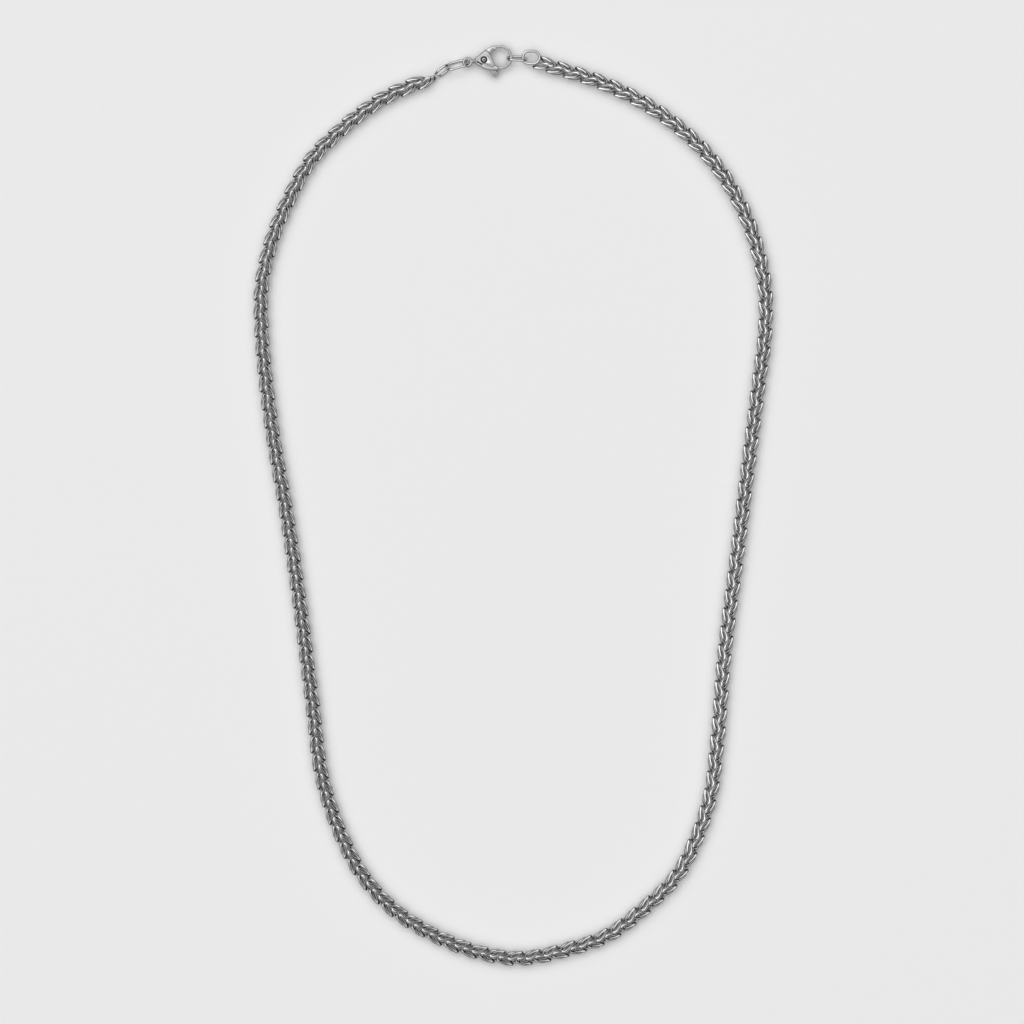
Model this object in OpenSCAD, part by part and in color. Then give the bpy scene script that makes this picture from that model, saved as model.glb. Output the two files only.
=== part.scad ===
// Wheat chain necklace, 60 cm round, lying as a closed loop with its lobster clasp at the top.
// Units are millimetres. +Z is up from the surface it lies on, +Y points at the clasp.

/* [Chain] */
// Width and height of the chain
chain_w = 4.0; // [3.6:0.1:4.2]
// Number of flat sides round the chain's tube
chain_sides = 8; // [8:2:12]

/* [End links] */
// Outer length of a chain link
link_len = 5.1; // [4.9:0.1:5.3]
// Outer width of a chain link
link_wid = 4.1; // [3.8:0.1:4.3]
// Wire diameter of a chain link
link_wire = 0.78; // [0.7:0.02:0.8]

/* [Jump rings] */
// Outer length of the ring in the clasp's eye
eye_ring_len = 6.35; // [6.2:0.05:6.5]
// Outer width of the ring in the clasp's eye
eye_ring_wid = 3.8; // [3.4:0.1:4.0]
// Outer length of the ring in the clasp's hook
hook_ring_len = 5.6; // [5.5:0.05:5.7]
// Outer width of the ring in the clasp's hook
hook_ring_wid = 3.4; // [3.2:0.1:3.6]
// Wire diameter of both jump rings
ring_wire = 0.64; // [0.5:0.02:0.66]

/* [Clasp] */
// Height of the clasp body
clasp_h = 3.0; // [2.8:0.1:3.1]
// Thickness of each of the body's two cheeks
cheek_t = 0.75; // [0.6:0.05:0.8]
// Thickness of the lever
lever_t = 1.2; // [0.9:0.1:1.3]
// Outer radius of the hook, seen from above
hook_r = 3.2; // [3.1:0.05:3.25]
// Width of the hook's bar, seen from above
hook_w = 0.78; // [0.6:0.02:0.8]
// Height of the hook's bar
hook_h = 1.3; // [1.0:0.1:1.3]
// Radius of the rivet's shaft
rivet_r = 0.45; // [0.35:0.05:0.5]
// Radius of the rivet's heads
rivet_head_r = 0.88; // [0.7:0.02:0.9]

/* [Hidden] */

steel = [0.78, 0.79, 0.80];
steel_dark = [0.62, 0.63, 0.65];

// The chain's centre line as it lies, clockwise from the link in the clasp's hook: x, y.
route = [
    [7.5, 115], [23, 110], [33.5, 105], [43.5, 98], [52, 89.5], [58.5, 79.5],
    [63, 68.5], [65.5, 56.5], [65.5, 44.5], [64, 32.5], [61, 9], [58, -15],
    [55, -38.5], [53, -62.5], [51.5, -74.5], [48, -86], [42.5, -96.5], [34, -105],
    [24.5, -112], [13, -116], [1, -118], [-10.5, -116], [-21.5, -111.5], [-31.5, -105],
    [-39.5, -96], [-45, -85.5], [-49, -74], [-52.5, -50], [-55.5, -26.5], [-59, -2.5],
    [-63, 21], [-64.5, 33], [-65.5, 45], [-65.5, 57], [-63, 68.5], [-58.5, 79.5],
    [-52.5, 90], [-44, 98.5], [-34.5, 105.5], [-21, 111.5]
];
// Stretches of the chain, and tube segments in each
stretches = 8;
seg_per = 9;

route_n = len(route);
// Chord length from the start to each route point
function sums(i, acc) = i >= route_n ? acc
    : sums(i + 1, concat(acc, [acc[i - 1] + norm(route[i] - route[i - 1])]));
chord = sums(1, [0]);
total = chord[route_n - 1];
// Direction of the line at route point i
function slope(i) =
    i == 0 ? (route[1] - route[0]) / (chord[1] - chord[0])
    : i == route_n - 1 ? (route[i] - route[i - 1]) / (chord[i] - chord[i - 1])
    : let (h0 = chord[i] - chord[i - 1], h1 = chord[i + 1] - chord[i])
      ((route[i] - route[i - 1]) * h1 / h0 + (route[i + 1] - route[i]) * h0 / h1) / (h0 + h1);
function span(u, i) = i >= route_n - 2 || chord[i + 1] > u ? i : span(u, i + 1);
// Point on the smooth line at chord length u
function line(u) =
    let (i = span(u, 0), h = chord[i + 1] - chord[i], t = (u - chord[i]) / h)
    route[i] * (2*t*t*t - 3*t*t + 1) + slope(i) * h * (t*t*t - 2*t*t + t)
    + route[i + 1] * (3*t*t - 2*t*t*t) + slope(i + 1) * h * (t*t*t - t*t);
function heading(u) =
    let (a = max(0, u - 0.5), b = min(total, u + 0.5), d = line(b) - line(a)) atan2(d[1], d[0]);

// One ring of tube corners: flat to flat across the tube is the chain's width
tube_r = chain_w / 2 / cos(180 / chain_sides);
function ring_pts(u) =
    let (p = line(u), a = heading(u))
    [for (k = [0 : chain_sides - 1])
        let (f = (k + 0.5) * 360 / chain_sides, w = tube_r * cos(f))
        [p[0] - w * sin(a), p[1] + w * cos(a), chain_w / 2 + tube_r * sin(f)]];

module stretch(k) {
    step = total / (stretches * seg_per);
    pts = [for (j = [0 : seg_per]) each ring_pts((k * seg_per + j) * step)];
    sides = [for (j = [0 : seg_per - 1], m = [0 : chain_sides - 1])
        let (a = j * chain_sides + m, b = j * chain_sides + (m + 1) % chain_sides)
        [a, a + chain_sides, b + chain_sides, b]];
    first = [for (m = [0 : chain_sides - 1]) m];
    last = [for (m = [chain_sides - 1 : -1 : 0]) seg_per * chain_sides + m];
    color(steel) polyhedron(pts, concat([first], sides, [last]), convexity = 6);
}

// A round-ended ring of round wire, lying flat on z = 0 with its length along X
module wire_ring(length, width, wire) {
    r = (width - wire) / 2;
    h = (length - width) / 2;
    for (s = [0, 180]) rotate([0, 0, s]) {
        translate([h, 0, 0]) rotate([0, 0, -90]) rotate_extrude(angle = 180, $fn = 48)
            translate([r, 0]) circle(d = wire, $fn = 24);
        translate([-h, r, 0]) rotate([0, 90, 0]) cylinder(d = wire, h = 2 * h, $fn = 24);
    }
}

// ---- clasp, drawn about its rivet with the hook towards +X, then turned into place
clasp_at = [-7.66, 115.93];
clasp_turn = 8.3;
mid_z = 1.75;
hook_at = [4.3, 0.08];
eye_at = [-4.35, 0.08];
eye_r = 1.0;
eye_bar = 0.4;
hook_in = hook_r - hook_w;
// The gate's end and the hook's tip meet on a circle about the rivet
meet_r = 4.55;
meet_gap = 0.05;
slot_t = clasp_h - 2 * cheek_t;

module in_place() translate([clasp_at[0], clasp_at[1], 0]) rotate([0, 0, clasp_turn]) children();

// Outline of a cheek: a rounded triangle from the neck to the hook's root
module cheek_shape() {
    polygon([[-2.55, -0.5], [-2.4, 0.7], [0.7, 2.5], [1.05, 2.35], [1.78, 1.37], [2.3, 0.0],
             [2.63, -1.46], [2.95, -2.05], [3.45, -2.2], [3.55, -3.19], [2.2, -3.08], [0.99, -2.78],
             [-0.29, -2.14], [-0.93, -1.68]]);
    translate([0.72, 2.2]) circle(r = 0.38, $fn = 32);
}

module hook_bar() {
    square([hook_w, hook_h - hook_w], center = true);
    for (s = [-1, 1]) translate([0, s * (hook_h - hook_w) / 2]) circle(d = hook_w, $fn = 32);
}

module clasp_body() {
    low = mid_z - clasp_h / 2;
    color(steel) in_place() difference() {
        union() {
            translate([0, 0, low]) linear_extrude(cheek_t) cheek_shape();
            translate([0, 0, low + clasp_h - cheek_t]) linear_extrude(cheek_t) cheek_shape();
            // closed end between the cheeks, at the neck
            translate([0, 0, low]) linear_extrude(clasp_h) polygon([[-2.55, -0.5], [-2.4, 0.7],
                [-1.6, 1.16], [-1.6, -1.19]]);
            // closed end between the cheeks, at the hook's root
            translate([0, 0, low]) linear_extrude(clasp_h) polygon([[2.8, -1.8], [2.95, -2.05],
                [3.45, -2.2], [3.9, -2.29], [3.95, -3.08], [3.55, -3.19], [2.95, -3.14]]);
            translate([-3.2, 0.08, mid_z]) rotate([0, 90, 0]) cylinder(r = 0.55, h = 1.2, $fn = 32);
            translate([eye_at[0], eye_at[1], mid_z]) rotate_extrude($fn = 64)
                translate([eye_r, 0]) circle(r = eye_bar, $fn = 32);
            // hook: from its root round to its tip
            translate([hook_at[0], hook_at[1], mid_z]) rotate([0, 0, -104])
                rotate_extrude(angle = 214, $fn = 96) translate([hook_in + hook_w / 2, 0]) hook_bar();
        }
        // the hook's tip ends clear of the gate's swing
        intersection() {
            translate([0, 0, mid_z - hook_h]) cylinder(r = meet_r + meet_gap, h = 2 * hook_h, $fn = 128);
            translate([2.0, 2.0, mid_z - hook_h]) cube([3, 2.5, 2 * hook_h]);
        }
        translate([0, 0, -1]) cylinder(r = rivet_r + 0.02, h = 6, $fn = 32);
    }
}

module clasp_lever() {
    color(steel_dark) in_place() translate([0, 0, mid_z - lever_t / 2]) difference() {
        union() {
            cylinder(r = 1.2, h = lever_t, $fn = 64);
            // gate
            intersection() {
                linear_extrude(lever_t) polygon([[-0.78, 0.62], [0.75, 2.35], [2.0, 3.0], [3.6, 3.5],
                    [4.2, 2.8], [3.75, 2.4], [1.6, 1.3], [0.85, 0.1]]);
                cylinder(r = meet_r - meet_gap, h = lever_t, $fn = 128);
            }
            // thumb piece
            linear_extrude(lever_t) polygon([[-0.7, -0.7], [0.55, -2.7], [1.7, -4.7], [2.3, -4.97],
                [3.15, -4.45], [2.6, -3.25], [1.9, -2.0], [0.85, -0.5]]);
        }
        translate([0, 0, -1]) cylinder(r = rivet_r + 0.05, h = lever_t + 2, $fn = 32);
    }
}

module clasp_rivet() {
    color(steel) in_place() difference() {
        union() {
            translate([0, 0, mid_z - clasp_h / 2 - 0.17]) cylinder(r = rivet_r, h = clasp_h + 0.34, $fn = 32);
            for (s = [-1, 1]) translate([0, 0, mid_z + s * (clasp_h / 2 + 0.095)])
                cylinder(r = rivet_head_r, h = 0.15, center = true, $fn = 48);
        }
        // dimple left by the riveting punch
        translate([0, 0, mid_z + clasp_h / 2 + 0.05]) cylinder(r = 0.3, h = 1, $fn = 32);
    }
}

module end_link_right() {
    color(steel) translate([4.65, 116.6, 1.95]) rotate([0, 0, -1]) rotate([10, 0, 0])
        wire_ring(link_len, link_wid, link_wire);
}

module end_link_left() {
    color(steel) translate([-18.42, 113.12, 2.0]) rotate([0, 0, 36.6]) rotate([68, 0, 0])
        wire_ring(link_len, link_wid, link_wire);
}

module hook_ring() {
    color(steel) translate([0.95, 116.35, 1.75]) rotate([0, 0, -4]) rotate([-65, 0, 0])
        wire_ring(hook_ring_len, hook_ring_wid, ring_wire);
}

module eye_ring() {
    color(steel) translate([-14.7, 114.66, 1.75]) rotate([0, 0, 15]) rotate([-54, 0, 0])
        wire_ring(eye_ring_len, eye_ring_wid, ring_wire);
}

module chain_top_right() stretch(0);
module chain_right_upper() stretch(1);
module chain_right_lower() stretch(2);
module chain_bottom_right() stretch(3);
module chain_bottom_left() stretch(4);
module chain_left_lower() stretch(5);
module chain_left_upper() stretch(6);
module chain_top_left() stretch(7);

chain_top_right();
chain_right_upper();
chain_right_lower();
chain_bottom_right();
chain_bottom_left();
chain_left_lower();
chain_left_upper();
chain_top_left();
end_link_right();
end_link_left();
hook_ring();
eye_ring();
clasp_body();
clasp_lever();
clasp_rivet();
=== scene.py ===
import math

import bpy
import numpy as np
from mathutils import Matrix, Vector
from mathutils.geometry import tessellate_polygon


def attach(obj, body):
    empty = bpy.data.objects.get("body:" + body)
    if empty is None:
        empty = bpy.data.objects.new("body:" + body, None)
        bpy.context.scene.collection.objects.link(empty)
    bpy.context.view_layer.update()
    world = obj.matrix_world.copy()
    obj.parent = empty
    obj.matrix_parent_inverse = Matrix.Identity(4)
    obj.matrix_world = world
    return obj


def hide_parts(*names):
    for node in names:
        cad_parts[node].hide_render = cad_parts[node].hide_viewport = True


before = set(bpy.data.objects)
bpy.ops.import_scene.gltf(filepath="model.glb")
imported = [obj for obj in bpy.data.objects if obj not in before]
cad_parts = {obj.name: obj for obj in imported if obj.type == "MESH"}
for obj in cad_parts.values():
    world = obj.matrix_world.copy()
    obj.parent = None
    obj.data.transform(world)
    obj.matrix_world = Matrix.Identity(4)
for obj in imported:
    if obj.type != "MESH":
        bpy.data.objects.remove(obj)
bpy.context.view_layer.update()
MM = 0.001

# ---------------------------------------------------------------- materials


def steel(name, tone, rough, grain=0.05, scratch=0.35, tint=(1.0, 1.0, 1.0)):
    """Polished steel: slight tone changes, fine wear in the gloss and faint hammering in the surface."""
    m = bpy.data.materials.new(name)
    m.use_nodes = True
    n, l = m.node_tree.nodes, m.node_tree.links
    b = n["Principled BSDF"]
    b.inputs["Metallic"].default_value = 1.0
    b.inputs["IOR"].default_value = 2.5
    co = n.new("ShaderNodeTexCoord")
    big = n.new("ShaderNodeTexNoise")
    big.inputs["Scale"].default_value = 420.0
    big.inputs["Detail"].default_value = 3.0
    l.new(co.outputs["Object"], big.inputs["Vector"])
    ramp = n.new("ShaderNodeValToRGB")
    lo, hi = tone
    ramp.color_ramp.elements[0].position = 0.3
    ramp.color_ramp.elements[0].color = (lo * tint[0], lo * tint[1], lo * tint[2], 1)
    ramp.color_ramp.elements[1].position = 0.7
    ramp.color_ramp.elements[1].color = (hi * tint[0], hi * tint[1], hi * tint[2], 1)
    l.new(big.outputs["Fac"], ramp.inputs["Fac"])
    l.new(ramp.outputs["Color"], b.inputs["Base Color"])
    fine = n.new("ShaderNodeTexNoise")
    fine.inputs["Scale"].default_value = 2600.0
    fine.inputs["Detail"].default_value = 4.0
    l.new(co.outputs["Object"], fine.inputs["Vector"])
    span = n.new("ShaderNodeMapRange")
    span.inputs["From Min"].default_value = 0.3
    span.inputs["From Max"].default_value = 0.7
    span.inputs["To Min"].default_value = rough[0]
    span.inputs["To Max"].default_value = rough[1]
    l.new(fine.outputs["Fac"], span.inputs["Value"])
    l.new(span.outputs["Result"], b.inputs["Roughness"])
    wave = n.new("ShaderNodeTexNoise")
    wave.inputs["Scale"].default_value = 1500.0
    wave.inputs["Detail"].default_value = 1.0
    l.new(co.outputs["Object"], wave.inputs["Vector"])
    bump = n.new("ShaderNodeBump")
    bump.inputs["Strength"].default_value = scratch
    bump.inputs["Distance"].default_value = grain * MM
    l.new(wave.outputs["Fac"], bump.inputs["Height"])
    l.new(bump.outputs["Normal"], b.inputs["Normal"])
    return m


chain_steel = steel("chain_steel_look", (0.48, 0.60), (0.08, 0.16), grain=0.03, scratch=0.25)
ring_steel = steel("ring_steel_look", (0.46, 0.56), (0.05, 0.11))
clasp_steel = steel("clasp_steel_look", (0.36, 0.48), (0.10, 0.18), grain=0.04)
lever_steel = steel("lever_steel_look", (0.32, 0.44), (0.10, 0.18), grain=0.04)
rivet_steel = steel("rivet_steel_look", (0.30, 0.42), (0.14, 0.24), grain=0.03)

# ---------------------------------------------------------------- mesh tools


def piece(name, parts, material, body, slot, *nodes):
    """One joined, smooth-shaded mesh from (vertices in mm, faces) parts, riding on a body and standing for CAD nodes."""
    verts, faces, k = [], [], 0
    for v, f in parts:
        verts.append(np.asarray(v, float))
        faces.append([tuple(int(i) + k for i in face) for face in f])
        k += len(v)
    me = bpy.data.meshes.new(name)
    me.from_pydata((np.concatenate(verts) * MM).tolist(), [], [f for fs in faces for f in fs])
    me.update()
    return finish_piece(name, me, material, body, slot, *nodes)


def finish_piece(name, me, material, body, slot, *nodes):
    me.polygons.foreach_set("use_smooth", [True] * len(me.polygons))
    me.materials.clear()
    me.materials.append(material)
    me.update()
    o = bpy.data.objects.new(name, me)
    bpy.context.scene.collection.objects.link(o)
    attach(o, body)
    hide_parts(*nodes)
    return o


def turn(axis, degrees):
    c, s = math.cos(math.radians(degrees)), math.sin(math.radians(degrees))
    if axis == "x":
        return np.array([[1, 0, 0], [0, c, -s], [0, s, c]])
    if axis == "y":
        return np.array([[c, 0, s], [0, 1, 0], [-s, 0, c]])
    return np.array([[c, -s, 0], [s, c, 0], [0, 0, 1]])


def wire(path, radius, sides, closed=True, up=(0, 0, 1)):
    """Round wire along a path that stays near a plane with the normal `up`. An open wire gets flat ends with a small chamfer."""
    p = np.asarray(path, float)
    n = len(p)
    if closed:
        t = np.roll(p, -1, 0) - np.roll(p, 1, 0)
        r = np.full(n, radius, float)
    else:
        t = np.gradient(p, axis=0)
        r = np.full(n, radius, float)
        d0, d1 = t[0] / np.linalg.norm(t[0]), t[-1] / np.linalg.norm(t[-1])
        c = 0.12 * radius
        p = np.concatenate([[p[0]], p, [p[-1]]])
        p[0] = p[1] - d0 * c
        p[-1] = p[-2] + d1 * c
        t = np.concatenate([[t[0]], t, [t[-1]]])
        r = np.concatenate([[radius - c], r, [radius - c]])
        n += 2
    t /= np.linalg.norm(t, axis=1)[:, None]
    side = np.cross(np.asarray(up, float), t)
    side /= np.linalg.norm(side, axis=1)[:, None]
    top = np.cross(t, side)
    a = np.linspace(0, 2 * math.pi, sides, endpoint=False)
    v = (
        p[:, None]
        + r[:, None, None] * (np.cos(a)[None, :, None] * side[:, None] + np.sin(a)[None, :, None] * top[:, None])
    ).reshape(-1, 3)
    f = []
    for i in range(n if closed else n - 1):
        for j in range(sides):
            k, m = (j + 1) % sides, (i + 1) % n
            f.append((i * sides + j, i * sides + k, m * sides + k, m * sides + j))
    if not closed:
        f.append(tuple(range(sides - 1, -1, -1)))
        f.append(tuple((n - 1) * sides + j for j in range(sides)))
    return v, f


def oval(length, width, thick, power, steps, start=0.0, stop=360.0):
    """Centre line of an oval ring of wire, in its own plane."""
    whole = abs(stop - start - 360.0) < 1e-9
    t = np.radians(np.linspace(start, stop, steps, endpoint=not whole))
    a, b, e = (length - thick) / 2, (width - thick) / 2, 2.0 / power
    c, s = np.cos(t), np.sin(t)
    return np.stack([a * np.sign(c) * np.abs(c) ** e, b * np.sign(s) * np.abs(s) ** e, 0 * t], 1)


def stadium(length, width, thick, steps, start=0.0, stop=360.0):
    """Centre line of a round-ended ring, evenly stepped, from angle start to stop round its middle."""
    r, h = (width - thick) / 2, (length - width) / 2
    t = np.radians(np.linspace(0, 360, 721))
    p = np.stack([np.sign(np.cos(t)) * h * (np.abs(np.cos(t)) > 1e-12) + r * np.cos(t), r * np.sin(t)], 1)
    ang = np.degrees(np.unwrap(np.arctan2(p[:, 1], p[:, 0])))
    d = np.r_[0, np.cumsum(np.hypot(*np.diff(p, axis=0).T))]
    whole = abs(stop - start - 360.0) < 1e-9
    a = np.concatenate([ang[:-1] - 360, ang[:-1], ang[:-1] + 360])
    dd = np.concatenate([d[:-1] - d[-1], d[:-1], d[:-1] + d[-1]])
    s0, s1 = np.interp(start, a, dd), np.interp(stop, a, dd)
    s = np.linspace(s0, s1, steps, endpoint=not whole)
    px = np.concatenate([p[:-1, 0]] * 3)
    py = np.concatenate([p[:-1, 1]] * 3)
    return np.stack([np.interp(s, dd, px), np.interp(s, dd, py), 0 * s], 1)


# ---------------------------------------------------------------- the chain

ROUTE = [
    (7.5, 115), (23, 110), (33.5, 105), (43.5, 98), (52, 89.5), (58.5, 79.5), (63, 68.5), (65.5, 56.5),
    (65.5, 44.5), (64, 32.5), (61, 9), (58, -15), (55, -38.5), (53, -62.5), (51.5, -74.5), (48, -86),
    (42.5, -96.5), (34, -105), (24.5, -112), (13, -116), (1, -118), (-10.5, -116), (-21.5, -111.5),
    (-31.5, -105), (-39.5, -96), (-45, -85.5), (-49, -74), (-52.5, -50), (-55.5, -26.5), (-59, -2.5),
    (-63, 21), (-64.5, 33), (-65.5, 45), (-65.5, 57), (-63, 68.5), (-58.5, 79.5), (-52.5, 90),
    (-44, 98.5), (-34.5, 105.5), (-21, 111.5),
]
route = np.array(ROUTE, float)
chord = np.r_[0, np.cumsum(np.linalg.norm(np.diff(route, axis=0), axis=1))]
slope = np.zeros_like(route)
slope[0] = (route[1] - route[0]) / (chord[1] - chord[0])
slope[-1] = (route[-1] - route[-2]) / (chord[-1] - chord[-2])
for i in range(1, len(route) - 1):
    h0, h1 = chord[i] - chord[i - 1], chord[i + 1] - chord[i]
    slope[i] = ((route[i] - route[i - 1]) * h1 / h0 + (route[i + 1] - route[i]) * h0 / h1) / (h0 + h1)


def line(u):
    u = np.asarray(u, float)
    i = np.clip(np.searchsorted(chord, u, side="right") - 1, 0, len(route) - 2)
    h = (chord[i + 1] - chord[i])[:, None]
    t = ((u - chord[i]) / h[:, 0])[:, None]
    return (
        route[i] * (2 * t**3 - 3 * t**2 + 1)
        + slope[i] * h * (t**3 - 2 * t**2 + t)
        + route[i + 1] * (3 * t**2 - 2 * t**3)
        + slope[i + 1] * h * (t**3 - t**2)
    )


u_fine = np.linspace(0, chord[-1], 12000)
p_fine = line(u_fine)
s_fine = np.r_[0, np.cumsum(np.hypot(*np.diff(p_fine, axis=0).T))]
length = s_fine[-1]

LINK_LEN, LINK_WID, LINK_WIRE, LINK_POWER = 5.0, 2.0, 0.85, 2.4
# A link is wider at its nose than at its tail
TAPER = 0.35
REPEAT = 4.74
# Four rows of links, outer and inner, upper and lower: (side, height, part of a repeat by which the row is ahead)
ROWS = [(1, 1, 0.0), (-1, 1, 0.5), (1, -1, 0.25), (-1, -1, 0.75)]
# A link's nose leans towards the middle, rises, and its plane leans outwards
LEAN, PITCH, ROCK = 30.0, 8.0, 35.0
SIDE, OUT = 0.80, 0.75
# How far the whole chain is rolled about its own axis, along its length: (mm, degrees)
ROLL = [(0, -2), (90, 0), (575, 0)]

path = oval(LINK_LEN, LINK_WID, LINK_WIRE, LINK_POWER, 44)
path[:, 1] *= 1 + TAPER * np.cos(np.linspace(0, 2 * math.pi, 44, endpoint=False))
unit_v, unit_f = wire(path, LINK_WIRE / 2, 12)
unit_v = unit_v @ (turn("x", -ROCK) @ turn("y", -PITCH) @ turn("z", -LEAN)).T + np.array([0, SIDE, OUT])
half = np.abs(unit_v[:, 0]).max()
# The outermost links reach a little past the route's ends, into the end links
first, last = half - 1.2, length - half + 0.8
repeats = int((last - first) / REPEAT) + 1
gap = (last - first) / (repeats - 0.25)
at, rolled, shapes = [], [], []
for i in range(repeats):
    for side, height, ahead in ROWS:
        at.append(first + gap * (i + ahead))
        v = unit_v * np.array([1, side, height])
        rolled.append(v @ turn("x", np.interp(at[-1], [r[0] for r in ROLL], [r[1] for r in ROLL])).T)
        shapes.append(unit_f if side * height > 0 else [f[::-1] for f in unit_f])
# One link more starts the inner row, through the end link
at.append(max(0.0, first - 0.25 * gap))
rolled.append(unit_v * np.array([1, -1, 1]))
shapes.append([f[::-1] for f in unit_f])
order = np.argsort(at)
at, rolled, shapes = np.array(at)[order], [rolled[i] for i in order], [shapes[i] for i in order]
count = len(at)
xs, ys = np.interp(at, s_fine, p_fine[:, 0]), np.interp(at, s_fine, p_fine[:, 1])
ahead = np.stack([np.interp(at + 0.8, s_fine, p_fine[:, 0]), np.interp(at + 0.8, s_fine, p_fine[:, 1])], 1)
behind = np.stack([np.interp(at - 0.8, s_fine, p_fine[:, 0]), np.interp(at - 0.8, s_fine, p_fine[:, 1])], 1)
head = np.arctan2(ahead[:, 1] - behind[:, 1], ahead[:, 0] - behind[:, 0])

low = np.array([r[:, 2].min() for r in rolled])
rise = np.array([-low[max(0, i - 3):i + 4].min() for i in range(count)])
rise = np.convolve(np.pad(rise, 4, mode="edge"), np.ones(9) / 9, mode="valid")
rise = np.maximum(rise, -low)

STRETCHES = ["chain_top_right", "chain_right_upper", "chain_right_lower", "chain_bottom_right",
             "chain_bottom_left", "chain_left_lower", "chain_left_upper", "chain_top_left"]
u_at = np.interp(at, s_fine, u_fine)
for k, node in enumerate(STRETCHES):
    parts = []
    for i in range(count):
        if min(7, int(u_at[i] / chord[-1] * 8)) != k:
            continue
        v = rolled[i] @ turn("z", math.degrees(head[i])).T + np.array([xs[i], ys[i], rise[i]])
        parts.append((v, shapes[i]))
    piece(node.replace("chain_", "links_"), parts, chain_steel, "necklace", "chain_steel", node)

# ---------------------------------------------------------------- end links and jump rings


def place(part, where, about_x, about_z):
    v, f = part
    return v @ (turn("z", about_z) @ turn("x", about_x)).T + np.array(where), f


piece("end_link_right_wire", [place(wire(stadium(5.1, 4.1, 0.78, 64), 0.39, 20), (4.65, 116.6, 1.95), 10, -1)],
      chain_steel, "necklace", "chain_steel", "end_link_right")
piece("end_link_left_wire", [place(wire(stadium(5.1, 4.1, 0.78, 64), 0.39, 20), (-18.42, 113.12, 2.0), 68, 36.6)],
      chain_steel, "necklace", "chain_steel", "end_link_left")
piece("hook_ring_wire",
      [place(wire(stadium(5.6, 3.4, 0.64, 72, -80, 277), 0.32, 18, closed=False), (0.95, 116.35, 1.75), -65, -4)],
      ring_steel, "necklace", "ring_steel", "hook_ring")
piece("eye_ring_wire",
      [place(wire(stadium(6.35, 3.8, 0.64, 72, -112, 244), 0.32, 18, closed=False), (-14.7, 114.66, 1.75), -54, 15)],
      ring_steel, "necklace", "ring_steel", "eye_ring")

# ---------------------------------------------------------------- clasp

RIVET_AT, CLASP_TURN, MID = (-7.66, 115.93), 8.3, 1.75


def inset_by(outline, inset):
    """An anticlockwise outline moved inwards, with mitred corners."""
    p = np.asarray(outline, float)
    e = np.roll(p, -1, 0) - p
    n = np.stack([-e[:, 1], e[:, 0]], 1) / np.linalg.norm(e, axis=1)[:, None]
    back = np.roll(n, 1, 0)
    return p + inset * (n + back) / np.maximum(1 + (n * back).sum(1), 0.45)[:, None]


def eased(outline, cut=0.22, times=2):
    """Corners cut back towards a curve."""
    p = np.asarray(outline, float)
    for _ in range(times):
        q = np.roll(p, -1, 0)
        p = np.stack([p + (q - p) * cut, q + (p - q) * cut], 1).reshape(-1, 2)
    return p


def circle(r, steps, at=(0.0, 0.0)):
    a = np.linspace(0, 2 * math.pi, steps, endpoint=False)
    return np.stack([at[0] + r * np.cos(a), at[1] + r * np.sin(a)], 1)


def slab(outline, rings, hole=None, hole_rings=None):
    """Plate from an anticlockwise outline: rings of (inset, z) from the bottom up, and one hole with rings of its own."""
    v, f = [], []
    loops = [(outline, rings, 1)] + ([(hole, hole_rings, -1)] if hole is not None else [])
    ends = []
    for shape, steps, way in loops:
        start, m = len(v), len(shape)
        for inset, z in steps:
            v += [(x, y, z) for x, y in inset_by(shape, inset * way)]
        for k in range(len(steps) - 1):
            for i in range(m):
                a, b = start + k * m + i, start + k * m + (i + 1) % m
                face = (a, b, b + m, a + m)
                f.append(face if way == 1 else face[::-1])
        ends.append((list(range(start, start + m)), list(range(start + (len(steps) - 1) * m, start + len(steps) * m))))
    for side, up in ((0, False), (1, True)):
        ids = sum([e[side] for e in ends], [])
        tris = tessellate_polygon([[Vector(v[i]) for i in e[side]] for e in ends])
        for t in tris:
            a, b, c = (np.array(v[ids[q]]) for q in t)
            area = np.cross((b - a)[:2], (c - a)[:2])
            if abs(area) < 1e-9:
                continue
            tri = tuple(ids[q] for q in t)
            f.append(tri if (area > 0) == up else tri[::-1])
    return np.array(v), f


def flipped(part):
    """The part mirrored about the clasp's middle height."""
    v, f = part
    v = np.array(v)
    v[:, 2] = 2 * MID - v[:, 2]
    return v, [tuple(face[::-1]) for face in f]


def turned(profile, sides, along=False, at=(0.0, 0.0, 0.0)):
    """Turned solid from (radius, height) pairs, about z or, if along, about x."""
    a = np.linspace(0, 2 * math.pi, sides, endpoint=False)
    v = np.array([(r * math.cos(q), r * math.sin(q), z) for r, z in profile for q in a])
    f = []
    for k in range(len(profile) - 1):
        for i in range(sides):
            b, c = k * sides + i, k * sides + (i + 1) % sides
            f.append((b, c, c + sides, b + sides))
    f.append(tuple(range(sides - 1, -1, -1)))
    f.append(tuple((len(profile) - 1) * sides + i for i in range(sides)))
    if along:
        v = v[:, [2, 0, 1]]
    return v + np.array(at), f


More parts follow.
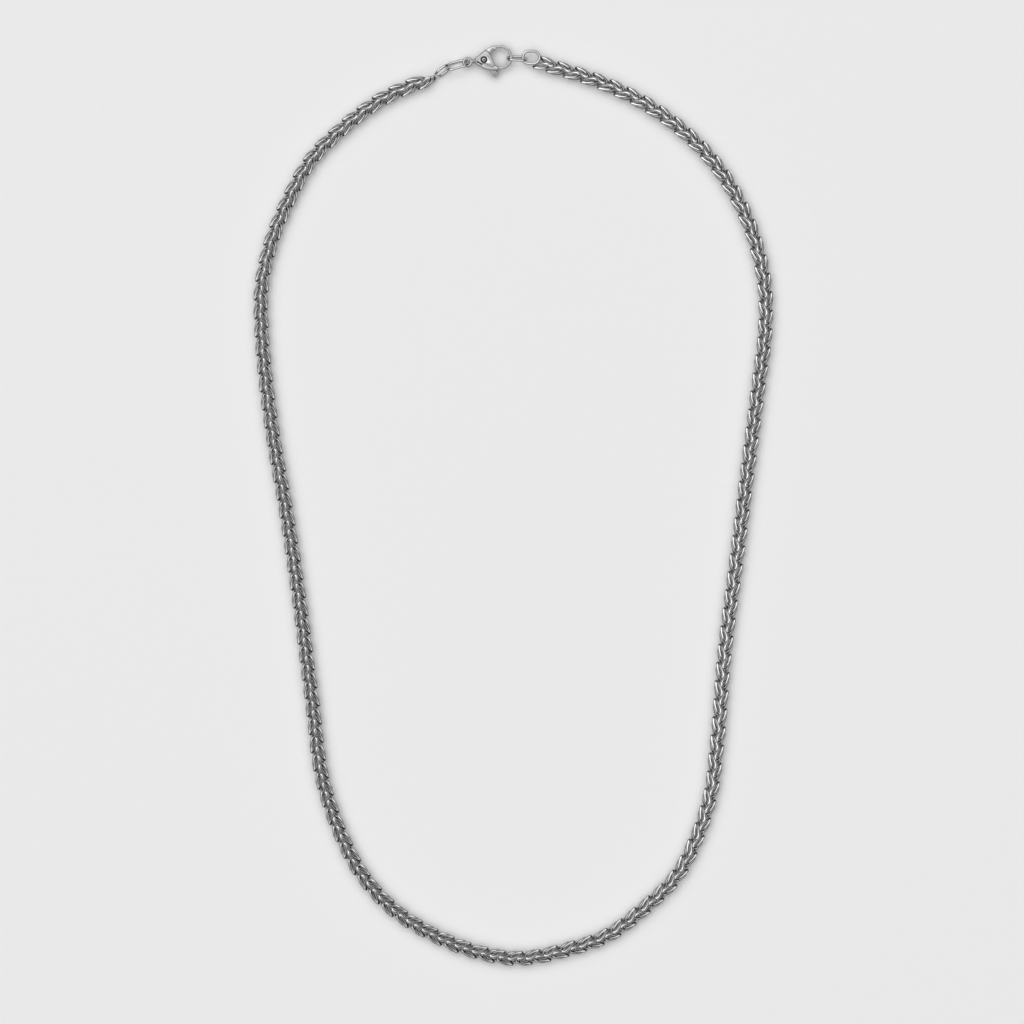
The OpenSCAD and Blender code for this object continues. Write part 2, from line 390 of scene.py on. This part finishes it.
def bar(path, half_wide, half_high, ease, steps=6):
    """Bar with a rounded rectangular section along a level path, its ends drawn in a little."""
    p = np.asarray(path, float)
    sec = []
    for cx, cy, a0 in ((1, 1, 0), (-1, 1, 90), (-1, -1, 180), (1, -1, 270)):
        for a in np.radians(np.linspace(a0, a0 + 90, steps)):
            sec.append((cx * (half_wide - ease) + ease * math.cos(a), cy * (half_high - ease) + ease * math.sin(a)))
    sec = np.array(sec)
    t = np.gradient(p, axis=0)
    t /= np.linalg.norm(t, axis=1)[:, None]
    size = np.ones(len(p))
    for end, nxt in ((0, 1), (-1, -2)):
        tip = p[end] - (p[nxt] - p[end]) / np.linalg.norm(p[nxt] - p[end]) * 0.07
        if end == 0:
            p, t, size = np.vstack([tip, p]), np.vstack([t[0], t]), np.r_[0.8, size]
        else:
            p, t, size = np.vstack([p, tip]), np.vstack([t, t[-1]]), np.r_[size, 0.8]
    side = np.cross(t, (0, 0, 1.0))
    v = (p[:, None] + size[:, None, None] * (sec[None, :, 0, None] * side[:, None] + sec[None, :, 1, None] * np.array([0, 0, 1.0]))).reshape(-1, 3)
    m, f = len(sec), []
    for i in range(len(p) - 1):
        for j in range(m):
            k = (j + 1) % m
            f.append((i * m + j, (i + 1) * m + j, (i + 1) * m + k, i * m + k))
    f.append(tuple(range(m)))
    f.append(tuple((len(p) - 1) * m + j for j in range(m - 1, -1, -1)))
    return v, f


def clasp_piece(name, parts, material, body, slot, *nodes):
    o = piece(name, [place(q, (RIVET_AT[0], RIVET_AT[1], 0.0), 0, CLASP_TURN) for q in parts], material, body, slot, *nodes)
    o.data.set_sharp_from_angle(angle=math.radians(38))
    return o


CHEEK = eased([(-2.55, -0.5), (-0.93, -1.68), (-0.29, -2.14), (0.99, -2.78), (2.2, -3.08), (3.55, -3.19), (3.45, -2.2),
               (2.95, -2.05), (2.63, -1.46), (2.3, 0), (1.78, 1.37), (1.08, 2.42), (0.68, 2.56), (0.3, 2.3), (-2.4, 0.7)], 0.18)
FACE = eased([(-2.25, 0.4), (-2.3, -0.15), (-1.55, -0.35), (-0.95, -0.95), (0.4, -1.12), (1.0, -1.62), (1.8, -2.15),
              (2.3, -2.2), (2.62, -1.85), (2.2, 0.0), (1.7, 1.33), (1.12, 2.1), (0.72, 2.32), (0.2, 2.02), (-1.1, 1.22)], 0.14)
cheek = slab(CHEEK, [(0, MID + 0.75), (0, 2.66), (0.06, 2.80), (0.15, 2.89), (0.26, 2.94)],
             circle(0.84, 48), [(0, MID + 0.75), (0, 2.94)])
face = slab(FACE, [(0, 2.7), (0, 3.06), (0.05, 3.17), (0.13, 3.24), (0.20, 3.25)],
            circle(0.84, 48), [(0, 2.7), (0, 3.14), (0.05, 3.22), (0.11, 3.25)])


def ramp_down(top, foot, z_top, z_foot):
    """Sloping facet between an upper edge and a lower edge, as a closed wedge."""
    n = len(top)
    v = [(x, y, z_top) for x, y in top] + [(x, y, z_foot) for x, y in foot] + [(x, y, z_foot - 0.05) for x, y in top]
    f = []
    for i in range(n - 1):
        f += [(i, i + n, i + n + 1, i + 1), (i + n, i + 2 * n, i + 2 * n + 1, i + n + 1), (i + 2 * n, i, i + 1, i + 2 * n + 1)]
    f += [(0, 2 * n, n), (n - 1, 2 * n - 1, 3 * n - 1)]
    return np.array(v), f


facet = ramp_down([(-2.32, 0.1), (-2.2, -0.1), (-1.55, -0.3), (-0.92, -0.92), (-0.62, -1.12)],
                  [(-2.52, -0.3), (-2.42, -0.5), (-1.85, -0.95), (-1.1, -1.5), (-0.62, -1.8)], 3.2, 2.6)
strand = wire([(-0.85, -1.42, 2.62), (-0.5, -1.72, 2.66), (0.0, -2.02, 2.7), (0.6, -2.32, 2.72), (1.3, -2.58, 2.72),
               (2.0, -2.75, 2.7), (2.7, -2.86, 2.66), (3.3, -2.92, 2.6)], 0.27, 16, closed=False)
upper = [cheek, face, facet, strand]
between = [slab([(-2.5, -0.45), (-1.6, -1.1), (-1.6, 1.1), (-2.35, 0.62)], [(0, 0.9), (0, 2.6)]),
           slab([(2.95, -3.05), (3.62, -3.02), (3.62, -2.4), (3.0, -2.2)], [(0, 0.9), (0, 2.6)])]
arc = np.radians(np.linspace(-104, 103, 72))
hook = bar(np.stack([4.3 + 2.81 * np.cos(arc), 0.08 + 2.81 * np.sin(arc), MID + 0 * arc], 1), 0.37, 0.65, 0.24)
neck = turned([(0.36, -3.3), (0.52, -3.2), (0.56, -3.0), (0.50, -2.84), (0.44, -2.76), (0.44, -2.7), (0.56, -2.6), (0.62, -2.3), (0.6, -2.1)],
              28, True, (0, 0.08, MID))
eye = wire(np.c_[circle(1.0, 56, (-4.35, 0.08)), np.full(56, MID)], 0.38, 18)
clasp_piece("clasp_shell", upper + [flipped(q) for q in upper] + between + [hook, neck, eye], clasp_steel,
            "necklace", "clasp_steel", "clasp_body")

GATE = eased([(-0.75, 0.72), (0.9, 0.66), (1.75, 1.35), (2.42, 1.88), (3.0, 2.16), (3.68, 2.38), (3.8, 2.62), (3.45, 2.98),
              (3.42, 3.3), (2.9, 3.3), (2.05, 3.08), (0.75, 2.4)], 0.12, 1)
SLOT = [(2.25, 2.2), (2.6, 2.32), (2.86, 2.6), (2.5, 2.56)]
gate = slab(GATE, [(0.06, 1.15), (0, 1.22), (0, 2.2), (0.05, 2.3), (0.14, 2.36)], SLOT, [(0, 1.15), (0, 2.25), (0.04, 2.36)])
hub = slab(circle(1.2, 40), [(0, 1.15), (0, 2.35)], circle(0.5, 40), [(0, 1.15), (0, 2.35)])
THUMB = eased([(-0.7, -0.75), (0.55, -2.75), (1.15, -3.75), (1.7, -4.7), (2.3, -4.97), (3.05, -4.6), (3.02, -3.9), (2.7, -3.25),
               (1.9, -2.0), (0.85, -0.62)], 0.12, 1)
thumb = slab(THUMB, [(0.08, 1.15), (0, 1.24), (0, 2.02), (0.08, 2.14)])
ribs = [wire([(0.95, -3.02, 2.04), (1.28, -3.6, 2.1), (1.6, -4.15, 2.1), (1.93, -4.62, 2.0)], 0.23, 14, closed=False),
        wire([(1.72, -3.1, 2.04), (2.0, -3.7, 2.12), (2.25, -4.25, 2.12), (2.42, -4.78, 2.0)], 0.23, 14, closed=False),
        wire([(2.5, -3.2, 2.04), (2.72, -3.75, 2.12), (2.84, -4.2, 2.1), (2.88, -4.55, 2.0)], 0.21, 14, closed=False)]
clasp_piece("lever_shell", [hub, gate, thumb] + ribs, lever_steel, "lever", "lever_steel", "clasp_lever")

button = [(0.44, 2.42), (0.82, 2.45), (0.82, 2.86), (0.80, 2.88), (0.67, 2.62), (0.54, 2.96), (0.50, 3.20), (0.44, 3.28),
          (0.30, 3.31), (0.2, 3.16), (0.1, 2.98)]
clasp_piece("rivet_shell", [turned([(0.44, MID - 1.2), (0.44, MID + 1.2)], 32), turned(button, 48), flipped(turned(button, 48))],
            rivet_steel, "necklace", "rivet_steel", "clasp_rivet")

# ---------------------------------------------------------------- floor, light, camera

fm = bpy.data.materials.new("pale_paper")
fm.use_nodes = True
fn, fl = fm.node_tree.nodes, fm.node_tree.links
fb = fn["Principled BSDF"]
fb.inputs["Roughness"].default_value = 0.85
fb.inputs["Specular IOR Level"].default_value = 0.1
fco = fn.new("ShaderNodeTexCoord")
fnoise = fn.new("ShaderNodeTexNoise")
fnoise.inputs["Scale"].default_value = 900.0
fnoise.inputs["Detail"].default_value = 4.0
fl.new(fco.outputs["Object"], fnoise.inputs["Vector"])
framp = fn.new("ShaderNodeValToRGB")
framp.color_ramp.elements[0].color = (0.860, 0.860, 0.860, 1)
framp.color_ramp.elements[1].color = (0.880, 0.880, 0.880, 1)
fl.new(fnoise.outputs["Fac"], framp.inputs["Fac"])
fl.new(framp.outputs["Color"], fb.inputs["Base Color"])
fmesh = bpy.data.meshes.new("floor")
H = 2.5
fmesh.from_pydata([(-H, -H, 0), (H, -H, 0), (H, H, 0), (-H, H, 0)], [], [(0, 1, 2, 3)])
fmesh.materials.append(fm)
floor = bpy.data.objects.new("floor", fmesh)
bpy.context.scene.collection.objects.link(floor)

world = bpy.data.worlds.new("studio")
bpy.context.scene.world = world
world.use_nodes = True
wn, wl = world.node_tree.nodes, world.node_tree.links
bg = wn["Background"]
wco = wn.new("ShaderNodeTexCoord")


def sky(direction, low, stops):
    """Grey from a ramp over the angle to one direction; the ramp runs from `low` to 1."""
    dot = wn.new("ShaderNodeVectorMath")
    dot.operation = "DOT_PRODUCT"
    dot.inputs[1].default_value = Vector(direction).normalized()
    wl.new(wco.outputs["Generated"], dot.inputs[0])
    span = wn.new("ShaderNodeMapRange")
    span.inputs["From Min"].default_value = low
    span.inputs["From Max"].default_value = 1.0
    wl.new(dot.outputs["Value"], span.inputs["Value"])
    wr = wn.new("ShaderNodeValToRGB")
    e = wr.color_ramp.elements
    e[0].position, e[1].position = stops[0][0], stops[-1][0]
    e[0].color, e[1].color = (stops[0][1],) * 3 + (1,), (stops[-1][1],) * 3 + (1,)
    for where, grey in stops[1:-1]:
        e.new(where).color = (grey, grey, grey, 1)
    wl.new(span.outputs["Result"], wr.inputs["Fac"])
    return wr.outputs["Color"]


# A wide pale ceiling over dark walls, a little darker straight above and brighter on the lamp's side
ceiling = sky((0, 0, 1), 0.0, [(0.0, 0.01), (0.35, 0.02), (0.54, 0.09), (0.67, 0.60), (0.80, 1.0), (0.94, 0.85), (1.0, 0.50)])
lean = sky((-0.6, 0.6, 0.45), -0.8, [(0.1, 0.15), (0.33, 0.40), (0.55, 0.72), (0.72, 0.95), (1.0, 1.0)])
mix = wn.new("ShaderNodeVectorMath")
mix.operation = "MULTIPLY"
wl.new(ceiling, mix.inputs[0])
wl.new(lean, mix.inputs[1])
wl.new(mix.outputs["Vector"], bg.inputs["Color"])
bg.inputs["Strength"].default_value = 2.10


def softbox(name, where, size, power):
    light = bpy.data.lights.new(name, "AREA")
    light.shape = "SQUARE"
    light.size = size
    light.energy = power
    o = bpy.data.objects.new(name, light)
    bpy.context.scene.collection.objects.link(o)
    o.location = where
    o.rotation_euler = (-Vector(where)).to_track_quat("-Z", "Y").to_euler()
    return o


softbox("key", (-0.95, 1.0, 1.95), 1.6, 5.0)

cam = bpy.data.cameras.new("camera")
cam.sensor_width = 36.0
cam.lens = 36.0 * 1.5 / 0.26665
cam.clip_end = 20.0
camera = bpy.data.objects.new("camera", cam)
bpy.context.scene.collection.objects.link(camera)
camera.location = (-0.00036, -0.00177, 1.502)
camera.rotation_euler = (0.0, 0.0, 0.0)
bpy.context.scene.camera = camera
bpy.context.scene.view_settings.view_transform = "Standard"
bpy.context.scene.view_settings.look = "None"
